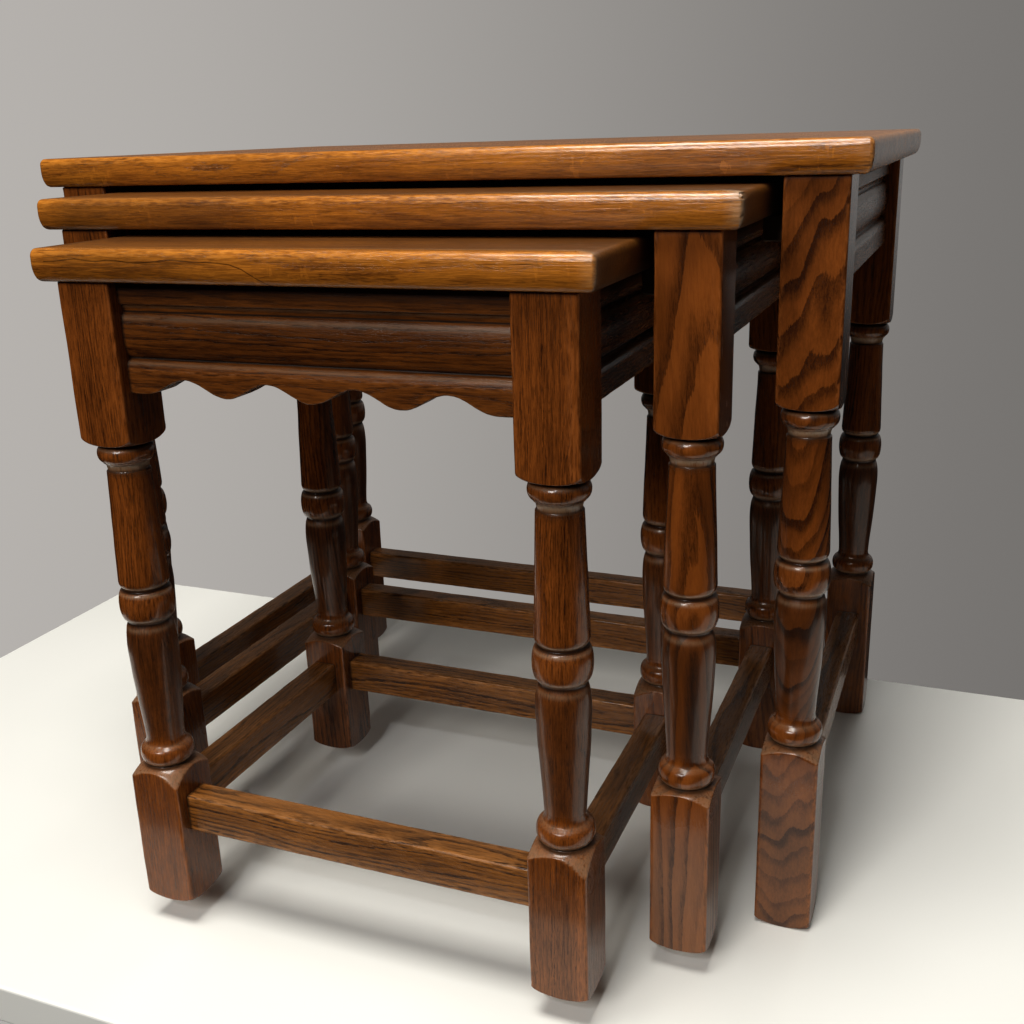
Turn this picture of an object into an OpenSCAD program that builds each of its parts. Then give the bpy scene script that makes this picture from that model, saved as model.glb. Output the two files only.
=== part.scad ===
// Nest of three oak tables with turned legs. Each smaller table hangs by the ends of
// its top on runners inside the next one, and slides out to the front (-Y).

/* [Nest] */
// Section of every leg
leg_section = 38; // [36:1:40]
// Thickness of every top
top_thickness = 20; // [18:1:22]
// Overhang of every top beyond the legs at its two ends
end_overhang = 12; // [11:0.5:13]
// Overhang of every top beyond the legs at the front and the back
edge_overhang = 7.5; // [5:0.5:10]
// Gap between one top and the one below it
top_gap = 4.5; // [4:0.5:6]
// How far the middle table stands forward of the large one at rest
middle_forward = 69; // [0:1:120]
// How far the small table stands forward of the middle one at rest
small_forward = 71.5; // [0:0.5:120]

/* [Large table] */
// Width over the legs
large_width = 562; // [556:1:600]
// Depth over the legs
large_depth = 370; // [350:1:400]
// Length of a leg
large_leg = 506; // [490:1:520]
// Height of the stretchers' upper faces
large_stretcher = 104; // [60:1:115]

/* [Middle table] */
// Width over the legs
middle_width = 448; // [440:1:450]
// Depth over the legs
middle_depth = 318; // [300:1:330]
// Length of a leg
middle_leg = 465; // [450:1:478]
// Height of the stretchers' upper faces above the foot
middle_stretcher = 98; // [50:1:100]

/* [Small table] */
// Width over the legs
small_width = 334; // [300:1:336]
// Depth over the legs
small_depth = 266; // [240:1:270]
// Length of a leg
small_leg = 438; // [420:1:450]
// Height of the stretchers' upper faces above the foot
small_stretcher = 83; // [50:1:90]

/* [Legs] */
// Height of the turned length between the two square blocks
turned_length = 232; // [200:1:250]
// Largest radius of the turned beads
bead_radius = 18.2; // [17:0.1:18.8]
// Smallest radius, at the neck of the baluster
neck_radius = 13; // [11:0.1:14]

/* [Rails] */
// Height of an apron at its deepest
apron_height = 69.5; // [64:0.5:80]
// Thickness of an apron
apron_thickness = 18; // [16:0.5:19]
// Distance from the outer faces of the legs to the face of an apron
apron_setback = 8; // [6:0.5:9]
// Height of a stretcher
stretcher_height = 27.5; // [24:0.5:32]
// Thickness of a stretcher
stretcher_thickness = 20; // [18:0.5:22]

/* [Hidden] */
$fn = 64;

// Where the tables stand. The origin is the middle of the whole nest's footprint.
top_step = top_thickness + top_gap;
nest_depth = large_depth + 2 * edge_overhang + middle_forward + small_forward;
large_front = nest_depth / 2 - edge_overhang - large_depth;
middle_front = large_front - middle_forward;
small_front = middle_front - small_forward;
middle_foot = large_leg - top_step - middle_leg;
small_foot = middle_foot + middle_leg - top_step - small_leg;

// A table is [width, depth, leg length, front, foot, stretcher top, has a front rail].
large = [large_width, large_depth, large_leg, large_front, 0, large_stretcher, false];
middle = [middle_width, middle_depth, middle_leg, middle_front, middle_foot, middle_stretcher, false];
small = [small_width, small_depth, small_leg, small_front, small_foot, small_stretcher, true];
function width(t) = t[0];
function depth(t) = t[1];
function leg_length(t) = t[2];
function front(t) = t[3];
function foot(t) = t[4];
function stretcher_top(t) = t[5];
function has_front(t) = t[6];
function underside(t) = foot(t) + leg_length(t);
function middle_y(t) = front(t) + depth(t) / 2;

// Edges of the tops, blocks and rails.
top_round = [4, 4.5];
top_under = [5, 10.5];
top_corner = 2.4;
arris = 1.2;
block_end = 0.8;
rail_arris = 1.5;

// Turning: the round blank that holds the square stock, the rounding of the foot, the
// shoulders where a block runs into the turning, and the bottom of its grooves. Heights
// in turned_outline() are drawn for a turned length of drawn_length, and stretch with it.
blank_radius = leg_section * sqrt(2) / 2 + 0.3;
foot_flat = 13;
foot_rise = 6.5;
lower_shoulder = 7;
upper_shoulder = 8;
groove_radius = bead_radius - 3.4;
drawn_length = 232;

// Mouldings on an apron: depth of each groove, and its distance below the top.
quirk_depth = 3.5;
quirk_at = 18.5;
vee_depth = 4.5;
vee_at = 47.5;
lower_band_at = 54;
wave_rise = 10;
wave_count = 4;

// Joints: tenons, and the clearance round them in their mortises.
tenon_thickness = 8;
tenon_fit = 0.1;
tenon_end_gap = 0.5;
apron_tenon = leg_section - apron_setback - apron_thickness / 2 - tenon_thickness / 2 - 1;
apron_tenon_top = 12;
apron_tenon_base = apron_height - wave_rise - 3;
stretcher_tenon = leg_section / 2 - tenon_thickness / 2 - 1;
stretcher_tenon_height = 20;

// Runners, and the running clearances of the table that hangs on them.
runner_height = 16;
runner_side_gap = 1.5;
runner_top_gap = 0.3;
runner_end_gap = 0.5;

// Metal: angle brackets under the tops, and the screws.
bracket_leg = 15;
bracket_width = 16;
bracket_metal = 1.5;
bracket_hole = 2.1;
bracket_hole_at = 9;
screw_radius = 1.75;
screw_fit = 0.05;
head_radius = 3.4;
head_height = 2;
bracket_screw = 13.5;
runner_screw = 30;
runner_screw_bite = 11;
counterbore_radius = 4.5;

// Colours.
top_oak = "#8a4b1c";
leg_oak = "#6f3816";
rail_oak = "#5f3013";
runner_oak = "#8b6238";
steel = "#9a9a94";

// ---- outlines ----

// Points of an elliptical arc about c, from angle a to angle b.
function arc(c, r, a, b, n) = [
    for (i = [0:n])
        let (t = a + (b - a) * i / n)
            [c[0] + r[0] * cos(t), c[1] + r[1] * sin(t)]
];

// Rectangle w by h about the origin in x, from z = 0 up, with its corners cut off.
function cut_rectangle(w, h, c, base = 0) = [
    [-w / 2 + c, base], [w / 2 - c, base], [w / 2, base + c], [w / 2, base + h - c],
    [w / 2 - c, base + h], [-w / 2 + c, base + h], [-w / 2, base + h - c], [-w / 2, base + c]
];

// Edge of a top: rounded over above, drawn in below.
function top_profile(w) =
    let (
        x = w / 2,
        t = top_thickness,
        under = arc([x - top_under[0], top_under[1]], top_under, -90, 0, 6),
        over = arc([x - top_round[0], t - top_round[1]], top_round, 0, 90, 5),
        right = concat(under, over)
    )
    concat(right, [for (i = [len(right) - 1:-1:0]) [-right[i][0], right[i][1]]]);

// Outline of the turned length: bead, cove, swelling body, ring, taper, collar and bead.
function turned_outline() =
    let (
        swell = bead_radius - 2 - neck_radius,
        foot_bead = arc([groove_radius, 9.6], [3.4, 6.4], -80, 60, 8),
        cove = arc([neck_radius + 3.4, 22], [3.4, 6.6], 232, 180, 5),
        body = [[neck_radius + 0.2 * swell, 36], [neck_radius + 0.7 * swell, 62]],
        body_shoulder = arc([bead_radius - 4.6, 90], [2.6, 17], -20, 72, 8),
        ring = arc([bead_radius - 3.1, 121], [3.1, 10.6], -76, 72, 9),
        taper_foot = arc([bead_radius - 4.5, 138], [3, 5.2], -72, 0, 4),
        collar = arc([neck_radius + 2.6, 215], [2.4, 4.2], 180, 100, 4),
        top_bead = arc([bead_radius - 3.6, 225.2], [3.6, 5.4], -70, 78, 8)
    )
    concat(
        [[groove_radius, 2.6]], foot_bead, cove, body, body_shoulder,
        [[groove_radius, 107.6], [groove_radius, 109.4]], ring,
        [[groove_radius, 131.6], [groove_radius, 132.4]], taper_foot,
        [[neck_radius + 1, 213], [neck_radius + 0.2, 214]], collar, top_bead,
        [[groove_radius, 231]]
    );

// Outline of a leg on the lathe, from its axis out. b is the height of the lower block.
function leg_outline(length, b) =
    let (
        stretch = turned_length / drawn_length,
        base = b - lower_shoulder,
        top = b + turned_length + upper_shoulder,
        reach = blank_radius - groove_radius
    )
    concat(
        [[0, -1], [foot_flat, -1]],
        arc([foot_flat, foot_rise], [blank_radius - foot_flat, foot_rise + 0.3], -90, 0, 8),
        arc([groove_radius, base], [reach, lower_shoulder + 1.5], 0, 90, 7),
        [for (p = turned_outline()) [p[0], b + p[1] * stretch]],
        arc([groove_radius, top], [reach, upper_shoulder + 0.5], -90, 0, 8),
        [[blank_radius, length + 1], [0, length + 1]]
    );

// Face of an apron: x is how far in from the face, y how far down from the top.
function apron_profile() = concat(
    [[apron_thickness, 0], [0, 0]],
    [[0, -quirk_at + 4.6]],
    arc([1, -quirk_at], [quirk_depth - 1, 4], 90, 0, 3),
    arc([quirk_depth, -quirk_at - 15], [quirk_depth, 14.6], 90, 180, 6),
    arc([vee_depth, -vee_at + 13.5], [vee_depth, 13.2], 180, 258, 6),
    [[vee_depth, -vee_at - 0.3]],
    arc([vee_depth, -lower_band_at], [vee_depth, lower_band_at - vee_at - 0.8], 90, 180, 4),
    [[0, -apron_height + 0.8], [0.8, -apron_height], [apron_thickness, -apron_height]]
);

// Half a wave of the scalloped edge: from a drop at x up to the next crest.
function wave_half(x, step) =
    let (
        r = (step * step / 4 + wave_rise * wave_rise / 4) / wave_rise,
        a = asin(abs(step) / 2 / r),
        s = sign(step)
    )
    concat(
        arc([x, -apron_height + r], [s * r, r], -90, -90 + a, 4),
        arc([x + step, -apron_height + wave_rise - r], [s * r, r], 90 + a, 90, 4)
    );
function reversed(p) = [for (i = [len(p) - 1:-1:0]) p[i]];

// ---- shared solids ----

// Board x by y by z, centred in x and y, with cut corners seen from all three sides.
module eased_board(x, y, z, plan_cut, x_cut, y_cut) {
    intersection() {
        linear_extrude(z)
            polygon(cut_rectangle(x, y, plan_cut, -y / 2));
        translate([0, y / 2 + 1, 0])
            rotate([90, 0, 0])
                linear_extrude(y + 2)
                    polygon(cut_rectangle(x, z, x_cut));
        translate([-x / 2 - 1, 0, 0])
            rotate([90, 0, 90])
                linear_extrude(x + 2)
                    polygon(cut_rectangle(y, z, y_cut));
    }
}

// Round-headed screw: the head stands on z = 0 and the shank points down.
module screw(length) {
    rotate_extrude()
        polygon(concat(
            [[0, -length], [screw_radius * 0.3, -length + 0.4], [screw_radius, -length + 4],
             [screw_radius, 0], [head_radius, 0]],
            arc([0, 0.3], [head_radius, head_height - 0.3], 0, 90, 5)
        ));
}

module pilot_hole(length) {
    translate([0, 0, -length])
        cylinder(h = length + 1, r = screw_radius + screw_fit, $fn = 24);
}

// Puts its children on a table's rail: side 0 front, 1 right, 2 rear, 3 left. The
// rail's outer leg faces lie on y = 0, its middle is x = 0, and y points inwards.
module on_side(t, side) {
    across = side % 2 == 0 ? depth(t) : width(t);
    translate([0, middle_y(t), 0])
        rotate([0, 0, side * 90])
            translate([0, -across / 2, 0])
                children();
}

function rail_length(t, side) = (side % 2 == 0 ? width(t) : depth(t)) - 2 * leg_section;
function has_rail(t, side) = side != 0 || has_front(t);

// Places of the brackets along a rail, and of the screws along a runner.
function bracket_places(t, side) = [for (s = [-1, 1]) s * rail_length(t, side) / 4];
function runner_screw_places(t) = [for (s = [-1, 0, 1]) s * rail_length(t, 1) * 0.38];

// ---- tops ----

module table_top(t) {
    x = width(t) + 2 * end_overhang;
    y = depth(t) + 2 * edge_overhang;
    color(top_oak)
        difference() {
            translate([0, middle_y(t), underside(t)])
                intersection() {
                    linear_extrude(top_thickness)
                        polygon(cut_rectangle(x, y, top_corner, -y / 2));
                    translate([0, y / 2 + 1, 0])
                        rotate([90, 0, 0])
                            linear_extrude(y + 2)
                                polygon(top_profile(x));
                    translate([-x / 2 - 1, 0, 0])
                        rotate([90, 0, 90])
                            linear_extrude(x + 2)
                                polygon(top_profile(y));
                }
            for (side = [0:3])
                if (has_rail(t, side))
                    on_side(t, side)
                        bracket_top_screws(t, side)
                            pilot_hole(bracket_screw);
        }
}

// ---- legs ----

module leg(t, x_side, y_side) {
    x = x_side * (width(t) - leg_section) / 2;
    y = middle_y(t) + y_side * (depth(t) - leg_section) / 2;
    block = (leg_length(t) - turned_length) / 2;
    color(leg_oak)
        difference() {
            translate([x, y, foot(t)])
                intersection() {
                    eased_board(leg_section, leg_section, leg_length(t), arris, block_end, block_end);
                    rotate_extrude()
                        polygon(leg_outline(leg_length(t), block));
                }
            for (side = [x_side > 0 ? 1 : 3, y_side > 0 ? 2 : 0])
                if (has_rail(t, side))
                    on_side(t, side) {
                        apron_tenons(t, side, tenon_fit, tenon_end_gap);
                        stretcher_tenons(t, side, tenon_fit, tenon_end_gap);
                    }
        }
}

// ---- aprons ----

module apron_tenons(t, side, fit = 0, extra = 0) {
    x = rail_length(t, side) + 2 * apron_tenon + 2 * extra;
    y = tenon_thickness + 2 * fit;
    z = apron_tenon_base - apron_tenon_top + 2 * fit;
    translate([
        -x / 2,
        apron_setback + (apron_thickness - y) / 2,
        underside(t) - apron_tenon_base - fit
    ])
        cube([x, y, z]);
}

module apron_blank(t, side) {
    x = rail_length(t, side);
    translate([-x / 2, apron_setback, underside(t)])
        rotate([90, 0, 90])
            linear_extrude(x)
                polygon(apron_profile());
}

module apron_holes(t, side, runner) {
    apron_bracket_screws(t, side)
        pilot_hole(bracket_screw);
    if (runner)
        runner_screws(t)
            pilot_hole(runner_screw);
}

module apron(t, side, runner = false) {
    color(rail_oak)
        on_side(t, side)
            difference() {
                union() {
                    apron_blank(t, side);
                    apron_tenons(t, side);
                }
                apron_holes(t, side, runner);
            }
}

// The front apron's lower edge is a run of arches with rounded drops between them.
module scallops(t) {
    x = rail_length(t, 0);
    step = (x - 24) / wave_count / 2;
    line = [
        for (i = [-wave_count:2:wave_count - 2])
            each concat(
                wave_half(i * step, step),
                reversed(wave_half((i + 2) * step, -step))
            )
    ];
    translate([0, apron_setback + apron_thickness + 1, underside(t)])
        rotate([90, 0, 0])
            linear_extrude(apron_thickness + 2)
                polygon(concat(line, [[x / 2, -apron_height - 5], [-x / 2, -apron_height - 5]]));
}

module scalloped_apron(t) {
    color(rail_oak)
        on_side(t, 0)
            difference() {
                union() {
                    difference() {
                        apron_blank(t, 0);
                        scallops(t);
                    }
                    apron_tenons(t, 0);
                }
                apron_holes(t, 0, false);
            }
}

// ---- stretchers ----

module stretcher_tenons(t, side, fit = 0, extra = 0) {
    x = rail_length(t, side) + 2 * stretcher_tenon + 2 * extra;
    y = tenon_thickness + 2 * fit;
    z = stretcher_tenon_height + 2 * fit;
    translate([
        -x / 2,
        (leg_section - y) / 2,
        foot(t) + stretcher_top(t) - stretcher_height / 2 - z / 2
    ])
        cube([x, y, z]);
}

module stretcher(t, side) {
    x = rail_length(t, side);
    color(rail_oak)
        on_side(t, side)
            union() {
                translate([-x / 2, leg_section / 2, foot(t) + stretcher_top(t) - stretcher_height])
                    rotate([90, 0, 90])
                        linear_extrude(x)
                            polygon(cut_rectangle(stretcher_thickness, stretcher_height, rail_arris));
                stretcher_tenons(t, side);
            }
}

// ---- runners ----

// The runner's inner face stands just clear of the legs of the table that hangs on it.
function runner_width(t, hung) =
    (width(t) - width(hung)) / 2 - apron_setback - apron_thickness - runner_side_gap;
function runner_bore(t, hung) = runner_width(t, hung) - runner_screw + runner_screw_bite;

module runner_screws(t) {
    for (x = runner_screw_places(t))
        translate([
            x,
            apron_setback + apron_thickness - runner_screw_bite + runner_screw,
            underside(t) - top_step - runner_top_gap - runner_height / 2
        ])
            rotate([-90, 0, 0])
                children();
}

module runner(t, side, hung) {
    x = rail_length(t, side) - 2 * runner_end_gap;
    y = runner_width(t, hung);
    color(runner_oak)
        on_side(t, side)
            difference() {
                translate([
                    0,
                    apron_setback + apron_thickness + y / 2,
                    underside(t) - top_step - runner_top_gap - runner_height
                ])
                    eased_board(x, y, runner_height, 1, 1, 1);
                runner_screws(t) {
                    pilot_hole(runner_screw);
                    cylinder(h = runner_bore(t, hung) + 1, r = counterbore_radius);
                }
            }
}

// ---- brackets and screws ----

// Screws through a bracket: up into the top, and out into the apron.
module bracket_top_screws(t, side) {
    for (x = bracket_places(t, side))
        translate([
            x,
            apron_setback + apron_thickness + bracket_hole_at,
            underside(t) - bracket_metal
        ])
            rotate([180, 0, 0])
                children();
}

module apron_bracket_screws(t, side) {
    for (x = bracket_places(t, side))
        translate([
            x,
            apron_setback + apron_thickness + bracket_metal,
            underside(t) - bracket_hole_at
        ])
            rotate([-90, 0, 0])
                children();
}

module bracket(x, t) {
    translate([x, apron_setback + apron_thickness, underside(t)])
        difference() {
            translate([-bracket_width / 2, 0, -bracket_leg])
                cube([bracket_width, bracket_leg, bracket_leg]);
            translate([-bracket_width / 2 - 1, bracket_metal, -bracket_leg - 1])
                cube([bracket_width + 2, bracket_leg, bracket_leg + 1 - bracket_metal]);
            translate([0, bracket_hole_at, -bracket_metal - 1])
                cylinder(h = bracket_metal + 2, r = bracket_hole);
            translate([0, -1, -bracket_hole_at])
                rotate([-90, 0, 0])
                    cylinder(h = bracket_metal + 2, r = bracket_hole);
        }
}

module brackets(t) {
    color(steel)
        for (side = [0:3])
            if (has_rail(t, side))
                on_side(t, side)
                    for (x = bracket_places(t, side))
                        bracket(x, t);
}

module screws(t, runners) {
    color(steel)
        for (side = [0:3])
            if (has_rail(t, side))
                on_side(t, side) {
                    bracket_top_screws(t, side)
                        screw(bracket_screw - 0.5);
                    apron_bracket_screws(t, side)
                        screw(bracket_screw - 0.5);
                    if (runners && side % 2 == 1)
                        runner_screws(t)
                            screw(runner_screw - 0.5);
                }
}

// ---- nodes: the large table ----

module large_top() { table_top(large); }
module large_leg_front_left() { leg(large, -1, -1); }
module large_leg_front_right() { leg(large, 1, -1); }
module large_leg_rear_left() { leg(large, -1, 1); }
module large_leg_rear_right() { leg(large, 1, 1); }
module large_apron_left() { apron(large, 3, true); }
module large_apron_right() { apron(large, 1, true); }
module large_apron_rear() { apron(large, 2); }
module large_stretcher_left() { stretcher(large, 3); }
module large_stretcher_right() { stretcher(large, 1); }
module large_stretcher_rear() { stretcher(large, 2); }
module large_runner_left() { runner(large, 3, middle); }
module large_runner_right() { runner(large, 1, middle); }
module large_brackets() { brackets(large); }
module large_screws() { screws(large, true); }

// ---- nodes: the middle table ----

module middle_top() { table_top(middle); }
module middle_leg_front_left() { leg(middle, -1, -1); }
module middle_leg_front_right() { leg(middle, 1, -1); }
module middle_leg_rear_left() { leg(middle, -1, 1); }
module middle_leg_rear_right() { leg(middle, 1, 1); }
module middle_apron_left() { apron(middle, 3, true); }
module middle_apron_right() { apron(middle, 1, true); }
module middle_apron_rear() { apron(middle, 2); }
module middle_stretcher_left() { stretcher(middle, 3); }
module middle_stretcher_right() { stretcher(middle, 1); }
module middle_stretcher_rear() { stretcher(middle, 2); }
module middle_runner_left() { runner(middle, 3, small); }
module middle_runner_right() { runner(middle, 1, small); }
module middle_brackets() { brackets(middle); }
module middle_screws() { screws(middle, true); }

// ---- nodes: the small table ----

module small_top() { table_top(small); }
module small_leg_front_left() { leg(small, -1, -1); }
module small_leg_front_right() { leg(small, 1, -1); }
module small_leg_rear_left() { leg(small, -1, 1); }
module small_leg_rear_right() { leg(small, 1, 1); }
module small_apron_left() { apron(small, 3); }
module small_apron_right() { apron(small, 1); }
module small_apron_rear() { apron(small, 2); }
module small_apron_front() { scalloped_apron(small); }
module small_stretcher_left() { stretcher(small, 3); }
module small_stretcher_right() { stretcher(small, 1); }
module small_stretcher_rear() { stretcher(small, 2); }
module small_stretcher_front() { stretcher(small, 0); }
module small_brackets() { brackets(small); }
module small_screws() { screws(small, false); }

large_top();
large_leg_front_left();
large_leg_front_right();
large_leg_rear_left();
large_leg_rear_right();
large_apron_left();
large_apron_right();
large_apron_rear();
large_stretcher_left();
large_stretcher_right();
large_stretcher_rear();
large_runner_left();
large_runner_right();
large_brackets();
large_screws();
middle_top();
middle_leg_front_left();
middle_leg_front_right();
middle_leg_rear_left();
middle_leg_rear_right();
middle_apron_left();
middle_apron_right();
middle_apron_rear();
middle_stretcher_left();
middle_stretcher_right();
middle_stretcher_rear();
middle_runner_left();
middle_runner_right();
middle_brackets();
middle_screws();
small_top();
small_leg_front_left();
small_leg_front_right();
small_leg_rear_left();
small_leg_rear_right();
small_apron_left();
small_apron_right();
small_apron_rear();
small_apron_front();
small_stretcher_left();
small_stretcher_right();
small_stretcher_rear();
small_stretcher_front();
small_brackets();
small_screws();
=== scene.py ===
"""Looks of a nest of three dark-stained oak tables with turned legs.

Every wooden piece that shows is rebuilt finely inside its CAD node's own box: legs as
turned and squared lofts, rails as moulded sweeps, tops as edge-moulded boards. Each
carries its own wood coordinates, so that the grain runs through it as through a plank.
"""
import math
import random

import bpy
import numpy as np
from mathutils import Matrix, Vector


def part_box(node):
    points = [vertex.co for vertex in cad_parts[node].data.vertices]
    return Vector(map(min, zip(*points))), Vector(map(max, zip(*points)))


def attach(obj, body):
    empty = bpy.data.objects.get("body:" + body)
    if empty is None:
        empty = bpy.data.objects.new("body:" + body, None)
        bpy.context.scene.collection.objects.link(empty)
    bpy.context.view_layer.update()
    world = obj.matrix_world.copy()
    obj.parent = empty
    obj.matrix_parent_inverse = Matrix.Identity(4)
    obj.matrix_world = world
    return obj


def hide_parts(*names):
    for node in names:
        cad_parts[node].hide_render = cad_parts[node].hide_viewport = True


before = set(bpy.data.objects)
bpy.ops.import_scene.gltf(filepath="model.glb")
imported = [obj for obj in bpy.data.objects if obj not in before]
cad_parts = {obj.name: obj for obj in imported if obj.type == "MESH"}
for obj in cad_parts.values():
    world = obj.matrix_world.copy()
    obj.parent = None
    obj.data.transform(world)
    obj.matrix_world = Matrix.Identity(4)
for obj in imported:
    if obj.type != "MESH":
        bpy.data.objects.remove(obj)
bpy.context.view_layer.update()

MM = 0.001
TABLES = ("large", "middle", "small")
SHARP_ANGLE = 50      # degrees between faces from which an edge is drawn sharp
NO_CRACK = 99.0       # millimetres, further from a crack than it can show
HOUSED = 1.5          # millimetres that a rail's ends run into its legs
NEAR = 1e-3           # millimetres within which two points are taken to be the same

# Where the camera stands, in metres and degrees.
CAMERA_AT = (0.359, -0.8122, 0.5348)
CAMERA_YAW = 22.60
CAMERA_DIP = 18.13
CAMERA_ROLL = 1.88
CAMERA_LENS = 40.9


# ---- camera ----

def make_camera():
    camera = bpy.data.objects.new("camera", bpy.data.cameras.new("camera"))
    bpy.context.collection.objects.link(camera)
    camera.data.lens = CAMERA_LENS
    camera.data.sensor_width = 36
    camera.data.clip_start = 0.01
    turn = Matrix.Rotation(math.radians(CAMERA_YAW), 4, "Z")
    tilt = Matrix.Rotation(math.radians(90 - CAMERA_DIP), 4, "X")
    roll = Matrix.Rotation(math.radians(-CAMERA_ROLL), 4, "Z")
    camera.matrix_world = Matrix.Translation(CAMERA_AT) @ turn @ tilt @ roll
    bpy.context.scene.camera = camera


make_camera()


# ---- small tools ----

def smooth(t):
    """0 below 0, 1 above 1, and a smooth step between."""
    t = np.clip(t, 0, 1)
    return t * t * (3 - 2 * t)


def wobble(x, seed, wave):
    """Smooth noise of x between about -1 and 1, with features about one wave long."""
    draw = random.Random(seed)
    total = np.zeros_like(np.asarray(x, dtype=float))
    for octave in range(4):
        turn = draw.uniform(0.6, 1.4) * (1 + octave * 0.8)
        wavy = np.sin(np.asarray(x) / wave * turn * 2.1 + draw.uniform(0, 6.28))
        total = total + wavy / (1 + octave * 0.5)
    return total / 2.4


def arc(centre, radii, start, end, count):
    """Points of an elliptical arc, from angle start to angle end in degrees."""
    angles = np.radians(np.linspace(start, end, count + 1))
    return [(centre[0] + radii[0] * math.cos(a), centre[1] + radii[1] * math.sin(a))
            for a in angles]


def curve(points, step):
    """A smooth curve through points, with a point about every step along its second value."""
    p = np.array(points, dtype=float)
    ends = np.vstack([2 * p[0] - p[1], p, 2 * p[-1] - p[-2]])
    out = []
    for a, b, c, d in zip(ends, ends[1:], ends[2:], ends[3:]):
        count = max(2, int(round(abs(c[1] - b[1]) / step)))
        for i in range(count):
            t = i / count
            out.append(tuple(0.5 * (2 * b + (c - a) * t + (2 * a - 5 * b + 4 * c - d) * t ** 2
                                    + (3 * b - a - 3 * c + d) * t ** 3)))
    out.append(tuple(p[-1]))
    return out


# ---- meshes ----

def loft_faces(rows, columns):
    """Quads of a closed ring of columns swept through rows."""
    quads = []
    for i in range(rows - 1):
        here, above = i * columns, (i + 1) * columns
        for j in range(columns):
            k = (j + 1) % columns
            quads.append((here + j, here + k, above + k, above + j))
    return quads


def end_caps(rows, columns):
    """One face over each open end of a loft."""
    first = tuple(reversed(range(columns)))
    last = tuple(range((rows - 1) * columns, rows * columns))
    return [first, last]


class Wood:
    """How a piece was cut. along is the axis of its grain, pith where the tree's centre lay
    across it, ring its growth rings' width and start how far along the tree it began, in
    millimetres. tone is how pale it is, lean how far the grain slopes in degrees, and sweep how
    strongly it curves."""

    def __init__(self, along, pith, tone, lean=(0, 0), start=0, ring=3.0, sweep=0.0):
        self.along = along
        self.pith = pith
        self.tone = tone
        self.lean = lean
        self.start = start
        self.ring = ring
        self.sweep = sweep

    def coordinates(self, points):
        """Points in millimetres as (along the grain, across, across)."""
        turn = {"x": (0, 1, 2), "y": (1, 0, 2), "z": (2, 0, 1)}[self.along]
        u, v, w = (points[:, i] for i in turn)
        v = v - math.tan(math.radians(self.lean[0])) * u
        w = w - math.tan(math.radians(self.lean[1])) * u + self.sweep * u ** 2
        return np.column_stack([u + self.start, v, w])


def store(mesh, name, kind, domain, values):
    """Keeps values on the mesh as an attribute that the materials read."""
    layer = mesh.attributes.new(name, kind, domain)
    flat = np.asarray(values, dtype=np.float32).ravel()
    layer.data.foreach_set("vector" if kind == "FLOAT_VECTOR" else "value", flat)


def make_piece(node, points, faces, woods, marks, material):
    """Makes the piece that stands for a CAD node. points are in metres, woods is one Wood or a
    function of a face's centre that gives one, and marks holds what lies on each vertex: wear,
    dirt with painted shade, pale wax with painted sheen and fade from 0 to 1, and split, the
    distance in millimetres from a crack."""
    mesh = bpy.data.meshes.new(node + "_wood")
    mesh.from_pydata([tuple(p) for p in points], [], faces)
    mesh.validate()
    mesh.shade_smooth()
    mesh.set_sharp_from_angle(angle=math.radians(SHARP_ANGLE))
    middle = (points.min(axis=0) + points.max(axis=0)) / 2
    local = (points - middle) / MM
    base = woods if isinstance(woods, Wood) else woods(middle)
    store(mesh, "grain", "FLOAT_VECTOR", "POINT", base.coordinates(local))
    centres = np.empty(len(mesh.polygons) * 3)
    mesh.polygons.foreach_get("center", centres)
    cuts = [woods if isinstance(woods, Wood) else woods(c) for c in centres.reshape(-1, 3)]
    shift = [(c.start - base.start, c.pith[0], c.pith[1]) for c in cuts]
    store(mesh, "shift", "FLOAT_VECTOR", "FACE", shift)
    store(mesh, "tone", "FLOAT", "FACE", [c.tone for c in cuts])
    store(mesh, "ring", "FLOAT", "FACE", [c.ring for c in cuts])
    for name in ("wear", "soil_and_shade", "dust_and_sheen", "fade"):
        store(mesh, name, "FLOAT", "POINT", marks.get(name, np.zeros(len(points))))
    store(mesh, "split", "FLOAT", "POINT", marks.get("split", np.full(len(points), NO_CRACK)))
    mesh.materials.append(material)
    piece = bpy.data.objects.new(node + "_wood", mesh)
    bpy.context.collection.objects.link(piece)
    even = piece.modifiers.new("even normals", "WEIGHTED_NORMAL")
    even.keep_sharp = True
    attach(piece, node.split("_")[0])
    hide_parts(node)
    return piece


# ---- materials ----

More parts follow.
